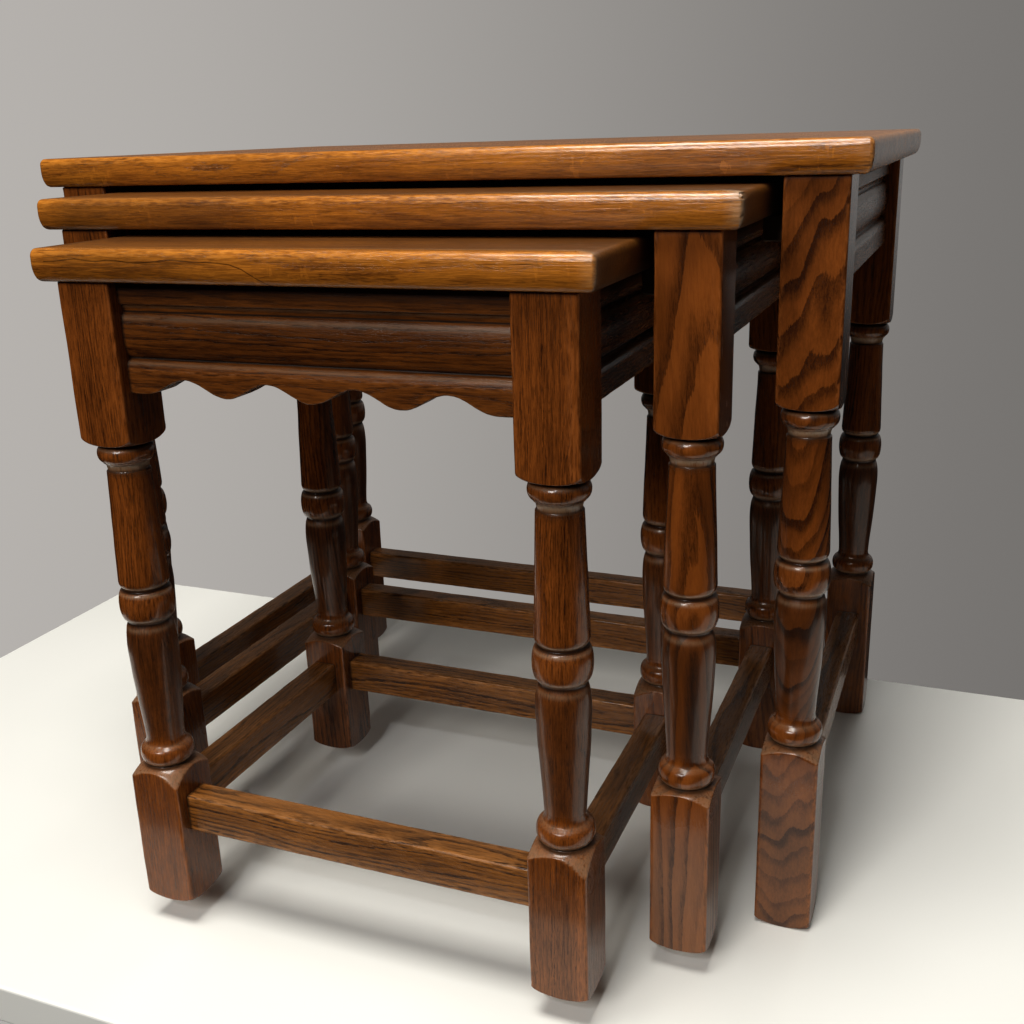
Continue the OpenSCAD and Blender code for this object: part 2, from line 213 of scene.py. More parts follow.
class Tree:
    """A short way to write a material's nodes."""

    def __init__(self, name):
        self.material = bpy.data.materials.new(name)
        self.material.use_nodes = True
        self.tree = self.material.node_tree
        self.shader = self.tree.nodes["Principled BSDF"]

    def node(self, kind, **settings):
        made = self.tree.nodes.new("ShaderNode" + kind)
        for key, value in settings.items():
            setattr(made, key, value)
        return made

    def link(self, value, socket):
        if isinstance(value, bpy.types.NodeSocket):
            self.tree.links.new(value, socket)
        else:
            socket.default_value = value

    def math(self, operation, a, b=0.0, clamp=False):
        made = self.node("Math", operation=operation, use_clamp=clamp)
        for value, socket in zip((a, b), made.inputs):
            self.link(value, socket)
        return made.outputs[0]

    def vector(self, operation, a, b=(0, 0, 0)):
        made = self.node("VectorMath", operation=operation)
        self.link(a, made.inputs[0])
        self.link(b, made.inputs[1])
        return made.outputs["Value" if operation == "LENGTH" else "Vector"]

    def step(self, value, low, high, out_low=0.0, out_high=1.0):
        """A smooth step from out_low to out_high as value goes from low to high."""
        made = self.node("MapRange", interpolation_type="SMOOTHSTEP")
        for v, name in ((value, "Value"), (low, "From Min"), (high, "From Max"),
                        (out_low, "To Min"), (out_high, "To Max")):
            self.link(v, made.inputs[name])
        return made.outputs[0]

    def noise(self, place, stretch, detail=2.0, rough=0.5):
        """Noise over place, which is in millimetres. stretch is its features' size each way."""
        sized = self.vector("DIVIDE", place, stretch)
        made = self.node("TexNoise")
        self.link(sized, made.inputs["Vector"])
        made.inputs["Scale"].default_value = 1
        made.inputs["Detail"].default_value = detail
        made.inputs["Roughness"].default_value = rough
        return made

    def mix(self, amount, a, b):
        made = self.node("Mix", data_type="RGBA")
        self.link(amount, made.inputs["Factor"])
        self.link(a, made.inputs["A"])
        self.link(b, made.inputs["B"])
        return made.outputs["Result"]

    def attribute(self, name):
        return self.node("Attribute", attribute_name=name)


def rgb(r, g, b):
    return (r, g, b, 1.0)


def oak(name, light, dark, gloss=0.20, coat=0.4, shine=0.5, figure=0.6, rays=0.0, relief=0.9,
        pitted=0.0, from_object=None):
    """Stained and varnished oak. light and dark are its colours, gloss is its varnish's
    roughness, coat the weight of its top coat and shine its specular level. figure is how
    strongly its rings show, rays how strongly its silver grain does, relief how uneven its face
    is along the grain, and pitted how many more pores it has than the rest. from_object gives
    the object's axes along and across the grain, for a CAD node, which has no wood of its own."""
    t = Tree(name)
    if from_object:
        place = t.vector("MULTIPLY", t.node("TexCoord").outputs["Object"], (1 / MM,) * 3)
        parts = t.node("SeparateXYZ")
        t.link(place, parts.inputs[0])
        join = t.node("CombineXYZ")
        for axis, socket in zip(from_object, join.inputs):
            t.link(parts.outputs[axis], socket)
        place = t.vector("ADD", join.outputs[0], (0, 70, 40))
        tone, ring = 0.5, 3.0
    else:
        grain, shift = (t.attribute(n).outputs["Vector"] for n in ("grain", "shift"))
        place = t.vector("ADD", grain, shift)
        tone, ring = t.attribute("tone").outputs["Fac"], t.attribute("ring").outputs["Fac"]
    marks = ("wear", "soil_and_shade", "dust_and_sheen", "fade")
    wear, soil_and_shade, dust_and_sheen, fade = (t.attribute(n).outputs["Fac"] for n in marks)

    # Growth rings about the pith, bent by slow noise and toothed along the grain. Each starts
    # sharply with dark early wood, which fades outwards. Wide rings are plain and bold, narrow
    # ones busy.
    slow = t.vector("SUBTRACT", t.noise(place, (200, 34, 34), 2).outputs["Color"], (0.5, 0.5, 0.5))
    bent = t.vector("ADD", place, t.vector("MULTIPLY", slow, (0, 24, 24)))
    far = t.vector("LENGTH", t.vector("MULTIPLY", bent, (0, 1, 1)))
    wide = t.step(ring, 1.6, 5.5)
    teeth = t.noise(place, (8, 0.8, 0.8), 3, 0.6).outputs["Fac"]
    reach = t.math("SUBTRACT", 3.8, t.math("MULTIPLY", wide, 2.2))
    far = t.math("ADD", far, t.math("MULTIPLY", t.math("SUBTRACT", teeth, 0.5), reach))
    year = t.math("DIVIDE", far, ring)
    phase = t.math("FRACT", year)
    vary = t.node("TexWhiteNoise", noise_dimensions="1D")
    t.link(t.math("FLOOR", year), vary.inputs["W"])
    early = t.math("MULTIPLY", t.step(phase, 0.0, 0.05), t.step(phase, 0.10, 0.70, 1.0, 0.0))
    early = t.math("MULTIPLY", early, t.step(vary.outputs["Value"], 0.0, 1.0, 0.35, 1.0))
    early = t.math("MULTIPLY", early, t.step(ring, 1.2, 4.0, 0.55, 0.76))

    # Open pores: short dark streaks, thickest in the early wood.
    coarse = t.noise(place, (14, 0.75, 0.75), 3, 0.6).outputs["Fac"]
    fine = t.noise(place, (5, 0.34, 0.34), 2, 0.5).outputs["Fac"]
    pores = t.math("MULTIPLY", t.step(coarse, 0.53 - pitted, 0.59 - pitted),
                   t.step(early, 0.0, 0.8, 0.42, 1.0))
    specks = t.math("MULTIPLY", t.step(fine, 0.55 - pitted, 0.62 - pitted),
                    t.step(early, 0.0, 0.8, 0.35, 0.9))
    plain = t.math("MULTIPLY", wide, t.step(early, 0.0, 0.7, 0.7, 0.35))
    open_grain = t.math("MAXIMUM", pores, specks)
    open_grain = t.math("MULTIPLY", open_grain, t.math("SUBTRACT", 1.0, plain))

    # Slow drifts of colour, and stain that took unevenly.
    drift = t.noise(place, (110, 24, 24), 2).outputs["Fac"]
    streaks = t.noise(place, (26, 1.6, 1.6), 3, 0.6).outputs["Fac"]
    depth = t.math("MULTIPLY", early, figure)
    strength = t.math("SUBTRACT", 1.7, wide)
    depth = t.math("ADD", depth, t.math("MULTIPLY", t.math("SUBTRACT", streaks, 0.5), strength))
    depth = t.math("ADD", depth, t.math("MULTIPLY", t.math("SUBTRACT", drift, 0.5), 1.1))
    depth = t.math("ADD", depth, t.math("SUBTRACT", 0.85, tone), clamp=True)
    pale = t.mix(t.math("MULTIPLY", fade, 0.6), rgb(*light), rgb(0.185, 0.083, 0.033))
    deep = t.mix(t.math("MULTIPLY", fade, 0.5), rgb(*dark), rgb(0.055, 0.024, 0.010))
    colour = t.mix(depth, pale, deep)
    if rays:
        ribbon = t.step(t.noise(bent, (3.4, 8, 8), 2, 0.4).outputs["Fac"], 0.60, 0.66)
        patch = t.step(t.noise(place, (60, 60, 60), 1).outputs["Fac"], 0.55, 0.63, 0.0, rays)
        colour = t.mix(t.math("MULTIPLY", ribbon, patch), colour, rgb(*(c * 1.25 for c in light)))
    darkest = rgb(*(c * 0.25 for c in dark))
    colour = t.mix(t.math("MULTIPLY", open_grain, 0.80), colour, darkest)
    split = t.math("ABSOLUTE", t.attribute("split").outputs["Fac"])
    colour = t.mix(t.step(split, 0.12, 0.5, 0.85, 0.0), colour, darkest)

    # Rubbed edges, dirt in the grooves with painted shade, and pale old wax with painted sheen.
    chips = t.noise(place, (9, 1.5, 1.5), 3, 0.6).outputs["Fac"]
    rub = t.math("MULTIPLY", wear, t.step(chips, 0.40, 0.62))
    bare = rgb(light[0] * 1.45, light[1] * 1.6, light[2] * 2.2)
    colour = t.mix(t.math("MULTIPLY", rub, 0.6), colour, bare)
    colour = t.mix(t.math("MULTIPLY", soil_and_shade, 0.92), colour, rgb(0.006, 0.0035, 0.0022))
    wax_and_sheen = t.math("MULTIPLY", dust_and_sheen, t.step(chips, 0.18, 0.52))
    colour = t.mix(t.math("MULTIPLY", wax_and_sheen, 0.75), colour, rgb(0.30, 0.215, 0.140))
    t.link(colour, t.shader.inputs["Base Color"])

    # The varnish sinks into the pores and is duller under dirt, painted shade, wax and painted
    # sheen.
    smears = t.noise(place, (35, 30, 30), 2).outputs["Fac"]
    rough = t.math("ADD", gloss, t.math("MULTIPLY", open_grain, 0.12))
    rough = t.math("ADD", rough, t.math("MULTIPLY", t.math("SUBTRACT", smears, 0.5), 0.12))
    rough = t.math("ADD", rough, t.math("MULTIPLY", t.math("MAXIMUM", wax_and_sheen, fade), 0.22))
    rough = t.math("ADD", rough, t.math("MULTIPLY", soil_and_shade, 0.25), clamp=True)
    t.link(rough, t.shader.inputs["Roughness"])
    t.shader.inputs["Specular IOR Level"].default_value = shine
    t.shader.inputs["Coat Weight"].default_value = coat
    t.shader.inputs["Coat Roughness"].default_value = 0.12

    height = t.math("MULTIPLY", open_grain, -0.6)
    height = t.math("ADD", height, t.math("MULTIPLY", early, -0.2))
    height = t.math("ADD", height, t.math("MULTIPLY", drift, 2.0))
    height = t.math("ADD", height, t.math("MULTIPLY", streaks, relief))
    bump = t.node("Bump")
    bump.inputs["Strength"].default_value = 0.35
    bump.inputs["Distance"].default_value = 0.25 * MM
    t.link(height, bump.inputs["Height"])
    t.link(bump.outputs[0], t.shader.inputs["Normal"])
    return t.material


def plated_steel():
    """Dull zinc plate, spangled and slightly stained."""
    t = Tree("steel")
    place = t.vector("MULTIPLY", t.node("TexCoord").outputs["Object"], (1 / MM,) * 3)
    spangle = t.noise(place, (2.2, 2.2, 2.2), 3, 0.6).outputs["Fac"]
    stain = t.noise(place, (11, 11, 11), 3).outputs["Fac"]
    colour = t.mix(t.step(spangle, 0.3, 0.7), rgb(0.36, 0.36, 0.35), rgb(0.58, 0.58, 0.56))
    colour = t.mix(t.step(stain, 0.56, 0.72, 0.0, 0.6), colour, rgb(0.20, 0.15, 0.10))
    t.link(colour, t.shader.inputs["Base Color"])
    t.shader.inputs["Metallic"].default_value = 1.0
    t.link(t.step(spangle, 0.2, 0.8, 0.34, 0.52), t.shader.inputs["Roughness"])
    bump = t.node("Bump")
    bump.inputs["Strength"].default_value = 0.2
    bump.inputs["Distance"].default_value = 0.05 * MM
    t.link(spangle, bump.inputs["Height"])
    t.link(bump.outputs[0], t.shader.inputs["Normal"])
    return t.material


TOP_OAK = oak("top_oak", (0.42, 0.156, 0.020), (0.115, 0.035, 0.0070), gloss=0.18, coat=0.2,
              figure=0.55, rays=0.5, relief=3.2, pitted=0.025)
LEG_OAK = oak("leg_oak", (0.225, 0.070, 0.0135), (0.045, 0.0140, 0.0042), shine=0.28, figure=0.85)
RAIL_OAK = oak("rail_oak", (0.175, 0.059, 0.0115), (0.034, 0.0102, 0.0032), gloss=0.25,
               coat=0.2, shine=0.25, figure=0.6, pitted=0.01)
STRETCHER_OAK = oak("stretcher_oak", (0.270, 0.108, 0.0240), (0.040, 0.0135, 0.0038),
                    gloss=0.25, coat=0.2, shine=0.25, figure=0.9, pitted=0.03)
RUNNER_OAK = oak("runner_oak", (0.36, 0.21, 0.10), (0.20, 0.10, 0.045), gloss=0.55, coat=0.0,
                 from_object=(1, 0, 2))
STEEL = plated_steel()


# ---- legs ----

TURNED = 232.0        # turned length, in mm, the same on every leg
BLANK = 27.17         # radius of the round that holds the square stock
FOOT_FLAT = 13.0      # where the foot's rounding starts, and how far up it reaches
FOOT_RISE = 6.5
BEAD = 18.2           # radius of the turning's beads, in mm
GROOVE = 14.8         # radius of the grooves between them
NECK = 13.0           # radius of the neck above the lower block
BODY = 16.8           # radius of the swelling body


def turning(drop):
    """Outline of the turned length, as (radius, height) in mm above the lower block. drop is
    how far down the turning cuts into the block's corners."""
    swell = BODY - NECK
    body = [(NECK, 22), (NECK + 0.2 * swell, 36), (NECK + 0.7 * swell, 62),
            (BODY - 0.16, 84.2), (BODY, 90)]
    taper = [(BEAD - 1.5, 138), (BEAD - 2.2, 156), (NECK + 2.2, 178),
             (NECK + 1.4, 198), (NECK + 1, 213)]
    rows = [(BLANK - (BLANK - GROOVE) * t, 1.5 - (drop + 1.5) * (1 - t) ** 1.3)
            for t in np.linspace(0, 1, 19)]
    rows += [(GROOVE - 0.3, 2.1), (GROOVE, 2.9)]
    rows += arc((GROOVE, 9.6), (BEAD - GROOVE, 6.4), -80, 60, 16)
    rows += arc((NECK + 3.4, 22), (3.4, 6.6), 232, 184, 8)
    rows += curve(body, 3)[1:]
    rows += arc((BODY - 2.6, 90), (2.6, 17), 8, 72, 12)
    rows += [(GROOVE - 0.2, 107.4), (GROOVE - 0.5, 108.4), (GROOVE - 0.3, 109.6)]
    rows += arc((BEAD - 3.1, 121), (3.1, 10.6), -76, 72, 18)
    rows += [(GROOVE - 0.2, 131.4), (GROOVE - 0.5, 131.9), (GROOVE - 0.4, 132.6)]
    rows += arc((BEAD - 4.5, 138), (3, 5.2), -72, -4, 8)
    rows += curve(taper, 4)
    rows += [(NECK + 0.1, 213.6), (NECK, 214.4)]
    rows += arc((NECK + 2.6, 215), (2.4, 4.2), 176, 100, 8)
    rows += [(NECK + 2.4, 219.5)]
    rows += arc((BEAD - 3.6, 225.2), (3.6, 5.4), -70, 78, 16)
    rows += [(GROOVE - 0.3, 230.8), (GROOVE - 0.5, 231.3), (GROOVE - 0.2, 231.6)]
    rows += arc((GROOVE, TURNED + 8), (BLANK - GROOVE, 8.5), -90, 0, 18)[1:]
    return rows


def bumps(height, places):
    """The greatest of several bell curves, each given as (place, reach, how much)."""
    total = np.zeros_like(height)
    for place, reach, much in places:
        total = np.maximum(total, much * np.exp(-((height - place) / reach) ** 2))
    return total


# Soil in the grooves, and pale wax on their lips, which on the lower block's cut corners is
# also a painted sheen: (height in mm above the lower block, reach in mm, how much).
SOIL = ((2.3, 1.3, 1.0), (108.4, 1.6, 1.0), (131.9, 1.2, 1.0), (213.9, 0.9, 0.85),
        (231.1, 1.7, 1.0))
DUST_AND_SHEEN = ((-3.0, 4.2, 0.55), (5.0, 1.1, 0.7), (16.5, 1.6, 0.3), (104.6, 1.6, 0.4), (111.4, 1.2, 0.8),
        (129.6, 1.0, 0.55), (134.4, 1.1, 0.9), (217.2, 2.3, 1.0), (228.8, 0.9, 0.35))


def leg_angles():
    """Angles round a leg, in degrees, closest together at the square's corners."""
    half = [0, 7, 14, 20.5, 26.5, 31.5, 35.5, 38.5, 40.8, 42.4, 43.7]
    quarter = half + [45] + [90 - a for a in reversed(half[1:])]
    return np.array([a + 90 * q for q in range(4) for a in quarter])


def square_reach(angles, half, corner):
    """How far a square with rounded corners reaches at each angle from its middle."""
    a = np.radians(angles)
    c = np.abs(np.cos(a))
    s = np.abs(np.sin(a))
    side = half / np.maximum(c, s)
    q = half - corner
    dot = (c + s) * q
    rounded = dot + np.sqrt(np.maximum(dot ** 2 - 2 * q ** 2 + corner ** 2, 0))
    in_corner = np.minimum(c, s) * side > q
    return np.where(in_corner, rounded, side)


def soft_least(a, b, reach):
    """The lesser of a and b, rounded over where they meet."""
    mix = np.clip(0.5 + 0.5 * (b - a) / reach, 0, 1)
    return b * (1 - mix) + a * mix - reach * mix * (1 - mix)


def make_leg(node, wood, drop, dip, fading, scuffed, seed):
    """drop is as in turning, dip how much deeper that cut goes at the front right corner, fading
    how bleached the foot is, and scuffed how rubbed the front face is beside that corner."""
    low, high = (np.array(corner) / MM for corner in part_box(node))
    middle = (low + high) / 2
    half = (high[0] - low[0]) / 2
    length = high[2] - low[2]
    block = (length - TURNED) / 2
    plain = 40.0  # any radius past the square's corners, which leaves the stock square
    rounding = arc((FOOT_FLAT, FOOT_RISE), (BLANK - FOOT_FLAT, FOOT_RISE + 0.3), -72.9, 0, 14)
    rows = [(r, h, 0) for r, h in rounding]
    rows += [(plain, h, 0) for h in np.linspace(9, block - drop - 1.5, 9)]
    rows += [(r, block + h, 0) for r, h in turning(drop)]
    rows += [(plain, h, 0) for h in np.linspace(block + TURNED + 9.5, length - 4, 9)]
    rows += [(plain, length - h, 0.8 - h) for h in (0.8, 0.4, 0)]
    radius, height, inset = (np.array(column, dtype=float)[:, None] for column in zip(*rows))
    angles = leg_angles()[None, :]
    corner_id = np.floor(angles / 90)
    worn = 1.7 + 0.5 * wobble(height + corner_id * 331, seed, 22)
    worn = worn + 0.25 * wobble(height + corner_id * 97, seed + 7, 5)
    square = square_reach(angles, half - inset, np.clip(worn, 0.9, 2.8) + inset)
    radius = radius + np.where(radius < 18.5, 0.14 * wobble(height, seed + 11, 25) - 0.05, 0)
    reach = soft_least(square, radius + 0 * square, 0.55)
    reach = np.minimum(reach, square)
    x = reach * np.cos(np.radians(angles)) + middle[0]
    y = reach * np.sin(np.radians(angles)) + middle[1]
    rise = height - block
    deeper = np.where(rise < -drop, smooth((rise + drop + 45) / 45),
                      smooth((1.5 - rise) / (drop + 1.5)))
    toward = np.clip(np.cos(np.radians(angles + 45)), 0, 1) ** 2
    z = height + low[2] - dip * deeper * toward
    points = np.stack([x, y, z], axis=-1).reshape(-1, 3) * MM
    above = (height - block + 0 * x).ravel()
    turned = radius + 0 * x < square + 0.3
    soil_and_shade = np.where(turned.ravel(), bumps(above, SOIL), 0)
    # Painted shade: the lower part of the turned body, about 14 to 112 mm above the block, is
    # darkened.
    soil_and_shade = np.maximum(soil_and_shade, 0.48 * smooth((above - 14) / 18) * smooth((112 - above) / 14))
    # Pale wax on the turning's lips, and on the lower block's cut corners a painted sheen as well.
    dust_and_sheen = np.where(turned.ravel(), bumps(above, DUST_AND_SHEEN), 0)
    fade = fading * smooth((block * 1.05 - (height + 0 * x).ravel()) / (block * 0.6))
    off_corner = np.abs((angles % 90) - 45)
    arris = np.exp(-(off_corner / 3.4) ** 2) * ~turned
    scuff = scuffed * np.exp(-((angles - 307) / 4.5) ** 2) * ~turned
    lip = np.exp(-((radius - square) / 1.3) ** 2) * 0.7
    bulge = np.where(turned, smooth((reach - 17.3) / 1.0) * 0.35, 0)
    wear = np.maximum.reduce([arris, scuff, lip, bulge]).ravel()
    faces = loft_faces(len(rows), angles.size) + end_caps(len(rows), angles.size)
    marks = {"wear": wear, "soil_and_shade": soil_and_shade, "dust_and_sheen": dust_and_sheen, "fade": fade}
    make_piece(node, points, faces, wood, marks, LEG_OAK)


# ---- rails ----

def rail_frame(node, side):
    """Where a rail lies: a function from (along, in from its outer face, down from its top) to
    row-frame points in metres, and its length and size in mm."""
    low, high = (np.array(corner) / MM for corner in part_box(node))
    along = 0 if side in ("front", "rear") else 1
    centre = (low + high) / 2

    def place(a, b, c):
        a, b, c = np.broadcast_arrays(a, b, c)
        out = np.empty(a.shape + (3,))
        out[..., along] = centre[along] + a
        across = 1 - along
        outward_high = side in ("rear", "right")
        out[..., across] = high[across] - b if outward_high else low[across] + b
        out[..., 2] = high[2] - c
        return out.reshape(-1, 3) * MM

    return place, low, high, along


def clear_length(table, along):
    """The distance between the inner faces of a table's legs, in mm."""
    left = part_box(f"{table}_leg_front_left")
    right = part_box(f"{table}_leg_rear_right")
    return (right[0][along] - left[1][along]) / MM


def apron_outline(thick, deep):
    """Cross-section of an apron: (in from the face, down from the top, wear, soil)."""
    rows = [(0.6, 0, 0, 0), (0, 0.6, 0, 0.0), (0, 6, 0, 0), (0, 13.4, 0, 0)]
    rows += [(x, d, 0.25 if d < 15.5 else 0, 0.0)
             for x, d in arc((1.0, 18.5), (2.4, 4.2), -90, -6, 7)]
    rows += [(3.5, 18.7, 0, 1.0), (3.45, 19.3, 0, 0.9)]
    rows += [(x, d, 0, 0.0) for x, d in arc((3.5, 33.5), (3.5, 14.2), 262, 180, 12)]
    rows += [(x, d, 0, 0.0) for x, d in arc((4.5, 34.0), (4.5, 13.0), 176, 104, 12)]
    rows += [(4.45, 47.0, 0, 0.9), (4.4, 47.7, 0, 1.0)]
    rows += [(x, d, 0.0, 0.0) for x, d in arc((4.5, 54.0), (4.3, 5.9), 262, 190, 7)]
    rows += [(0.05, 53.6, 0.9, 0), (0, 54.4, 0.9, 0), (0, 57, 0.1, 0), (0, deep - 1.6, 0.2, 0)]
    rows += [(x, d, 1.0, 0) for x, d in arc((1.1, deep - 1.1), (1.1, 1.1), 180, 90, 4)]
    rows += [(thick - 0.6, deep, 0.2, 0), (thick, deep - 0.6, 0.3, 0)]
    rows += [(thick, 1, 0, 0), (thick - 0.6, 0, 0, 0)]
    return np.array(rows)


def scallop(x, length):
    """How far the scalloped edge rises above its drops, at x from the rail's middle."""
    rise, flat, waves = 10.0, 12.0, 4
    period = (length - 2 * flat) / waves
    t = np.clip(np.abs(x), 0, length / 2 - flat) / period
    return rise * (0.5 - 0.5 * np.cos(t * 2 * math.pi))


def rail_stations(length, step):
    """Places along a rail, from its middle: one about every step, closer together at its ends."""
    reach = length / 2 + HOUSED
    between = np.linspace(-reach + 8, reach - 8, int(length / step))
    return np.concatenate([[-reach, -reach + 1.5, -reach + 4], between,
                           [reach - 4, reach - 1.5, reach]])


def make_apron(node, side, wood, seed, scalloped=False):
    table = node.split("_")[0]
    place, low, high, along = rail_frame(node, side)
    length = clear_length(table, along)
    thick = high[1 - along] - low[1 - along]
    deep = high[2] - low[2]
    outline = apron_outline(thick, deep)
    stations = rail_stations(length, 1.5 if scalloped else 6.0)
    a = stations[:, None]
    into, down, wear, soil_and_shade = (outline[:, i][None, :] for i in range(4))
    lower = down > deep - 2.4
    worn = 0.18 * wobble(a, seed, 14) + 0.12 * wobble(a, seed + 3, 4)
    down = down + np.where(lower, worn - 0.3, 0) + 0 * a
    if scalloped:
        down = down - np.where(lower, scallop(a, length), 0)
    into = into + 0 * a
    points = place(a, into, down)
    # Painted shade where the apron runs into the legs, over its last 1.6 mm.
    soil_and_shade = np.maximum(soil_and_shade + 0 * a, 0.8 * smooth((np.abs(a) - length / 2 + 1.6) / 1.4))
    # Painted shade under the top's overhang, darkest along the apron's top edge and gone 14 mm
    # down.
    soil_and_shade = np.maximum(soil_and_shade, 0.55 * smooth((14 - down) / 8))
    dust_and_sheen = 0.35 * np.exp(-((down - 22.6) / 1.6) ** 2) + 0.3 * np.exp(-((down - 50.2) / 1.2) ** 2)
    dust_and_sheen = np.maximum(dust_and_sheen, 0.25 * np.exp(-((down - 15.2) / 1.2) ** 2))
    marks = {"wear": (wear + 0 * a).ravel(), "soil_and_shade": soil_and_shade.ravel(), "dust_and_sheen": dust_and_sheen.ravel()}
    faces = loft_faces(len(stations), outline.shape[0]) + end_caps(len(stations), outline.shape[0])
    if side in ("rear", "left"):
        faces = [tuple(reversed(f)) for f in faces]
    make_piece(node, points, faces, wood, marks, RAIL_OAK)


def make_stretcher(node, side, wood, seed):
    table = node.split("_")[0]
    place, low, high, along = rail_frame(node, side)
    length = clear_length(table, along)
    thick = high[1 - along] - low[1 - along]
    deep = high[2] - low[2]
    stations = rail_stations(length, 7)
    a = stations[:, None]
    outline = []
    for into, down, start in ((0, 0, 270), (0, 1, 180), (1, 1, 90), (1, 0, 0)):
        r = 1.9
        centre = (into * thick + (r if into == 0 else -r), down * deep + (r if down == 0 else -r))
        outline += [(*p, 1.0) for p in arc(centre, (r, r), start, start - 90, 5)]
        if into == 0 and down == 0:
            outline += [(0, deep * k / 4, 0.0) for k in (1, 2, 3)]
        if into == 0 and down == 1:
            outline += [(thick * k / 3, deep, 0.0) for k in (1, 2)]
        if into == 1 and down == 1:
            outline += [(thick, deep * (1 - k / 4), 0.0) for k in (1, 2, 3)]
        if into == 1 and down == 0:
            outline += [(thick * (1 - k / 3), 0, 0.0) for k in (1, 2)]
    outline = np.array(outline)
    into, down, wear = (outline[:, i][None, :] for i in range(3))
    at_edge = wear > 0.5
    drop = at_edge * (0.22 + 0.2 * wobble(a + into * 13 + down * 31, seed, 16))
    into = into + np.sign(thick / 2 - into) * drop * 0.7
    down = down + np.sign(deep / 2 - down) * drop * 0.7
    points = place(a, into, down)
    # Painted shade where the stretcher runs into the legs.
    soil_and_shade = 0.85 * smooth((np.abs(a) - length / 2 + 1.6) / 1.4) + 0 * into
    # Pale dust and a painted sheen on the stretcher's upper face.
    top_dust_and_sheen = 0.12 * (down < 1.2) * smooth((length / 2 - np.abs(a)) / 20)
    marks = {"wear": (wear * 0.85 + 0 * a).ravel(), "soil_and_shade": soil_and_shade.ravel(), "dust_and_sheen": top_dust_and_sheen.ravel()}
    faces = loft_faces(len(stations), outline.shape[0]) + end_caps(len(stations), outline.shape[0])
    if side in ("rear", "left"):
        faces = [tuple(reversed(f)) for f in faces]
    make_piece(node, points, faces, wood, marks, STRETCHER_OAK)


# ---- tops ----

def loop_round(half_x, half_y, corner, stops_x, stops_y):
    """Points round a rectangle with rounded corners, anticlockwise from its front left."""
    qx, qy = half_x - corner, half_y - corner
    loop = [(x, -half_y) for x in stops_x]
    loop += arc((qx, -qy), (corner, corner), -80, -10, 4)
    loop += [(half_x, y) for y in stops_y]
    loop += arc((qx, qy), (corner, corner), 10, 80, 4)
    loop += [(x, half_y) for x in reversed(stops_x)]
    loop += arc((-qx, qy), (corner, corner), 100, 170, 4)
    loop += [(-half_x, y) for y in reversed(stops_y)]
    loop += arc((-qx, -qy), (corner, corner), 190, 260, 4)
    return loop


def top_edge(thick):
    """Profile of a top's edge: (in from the outermost line, up from the underside, wear, soil)."""
    rows = [(11.0, 0, 0, 0.15), (5.6, 0, 0, 0.1)]
    rows += [(5 - x, z, 0.15 if z < 2 else 0.0, 0.0)
             for x, z in arc((0, 10.5), (5, 10.5), -86, 0, 11)]
    rows += [(0, 13.0, 0.15, 0), (0.0, thick - 4.6, 0.4, 0)]
    rows += [(4 - x, z, 0.75, 0) for x, z in arc((0, thick - 4.5), (4, 4.5), 6, 90, 8)]
    rows += [(5.2, thick, 0.3, 0), (11.0, thick, 0, 0)]
    return rows


